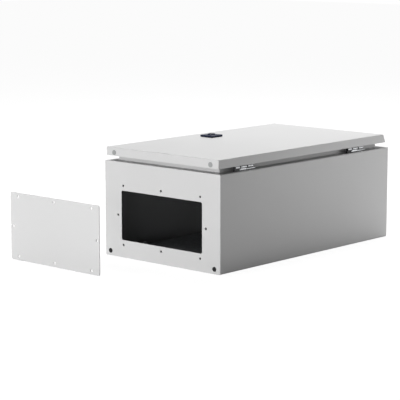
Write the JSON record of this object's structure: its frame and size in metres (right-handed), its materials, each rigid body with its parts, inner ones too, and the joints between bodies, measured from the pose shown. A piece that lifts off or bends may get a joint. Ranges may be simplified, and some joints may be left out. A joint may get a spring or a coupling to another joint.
{
  "type": "steel wall enclosure",
  "caption": "Welded steel wall enclosure lying on its back, with a hinged flanged door, cam lock, foam seal, mounting plate and a gland plate taken off beside its opening.",
  "frame": {"origin": "the middle of the four wall holes, on the outer face of the back", "axes": "+Z out through the door, +X towards the hinges, -Y towards the gland plate end, which is the lower end once the enclosure hangs on a wall"},
  "size_m": [0.537, 0.906, 0.2945],
  "materials": {
    "powder_coat": "light grey fine-textured powder coat",
    "zinc_plate": "galvanised steel sheet",
    "zinc_fixing": "zinc-plated steel fixing",
    "bright_steel": "bright zinc die casting and steel pin",
    "brass_fixing": "brass earth fixing",
    "black_nylon": "black nylon",
    "grey_nylon": "light grey plastic plug",
    "foam": "dark foam seal",
    "lock_finish": "dark blue-black coated zinc die casting",
    "key_insert": "nickel-plated insert"
  },
  "bodies": {
    "body": {"body_shell": "powder_coat", "gland_weld_nuts": "zinc_fixing", "end_plugs": "black_nylon", "hinge_pads": "black_nylon", "body_hinge_leaves": "bright_steel", "hinge_screws": "zinc_fixing", "hinge_pins": "bright_steel", "hinge_washers": "black_nylon", "plate_spacers": "zinc_fixing", "plate_studs": "zinc_fixing", "mounting_plate": "zinc_plate", "plate_washers": "zinc_fixing", "plate_nuts": "zinc_fixing", "body_earth_stud": "brass_fixing", "body_earth_washer": "brass_fixing", "body_earth_nut": "brass_fixing"},
    "door": {"door_shell": "powder_coat", "door_gasket": "foam", "door_rails": "powder_coat", "door_hinge_leaves": "bright_steel", "door_plugs": "grey_nylon", "door_earth_stud": "brass_fixing", "door_earth_washer": "brass_fixing", "door_earth_nut": "brass_fixing", "lock_seal": "foam", "lock_housing": "lock_finish", "lock_nut": "zinc_fixing"},
    "lock": {"lock_insert": "key_insert", "lock_cam": "zinc_fixing", "lock_cam_screw": "zinc_fixing"},
    "gland_plate": {"gland_plate": "powder_coat", "gland_gasket": "foam"}
  },
  "joints": [
    {"name": "door", "type": "hinge", "parent": "body", "child": "door", "pos_m": [0.1905, 0, 0.2595], "axis": [0, 1, 0], "range_deg": [0, 120]},
    {"name": "lock", "type": "hinge", "parent": "door", "child": "lock", "pos_m": [-0.12516, -0.017, 0.287], "axis": [0, 0, 1], "range_deg": [0, 90]},
    {"name": "gland_plate", "type": "slide", "parent": "body", "child": "gland_plate", "axis": [0.6546, 0.7511, 0.0853], "range_m": [0, 0.26733]}
  ]
}
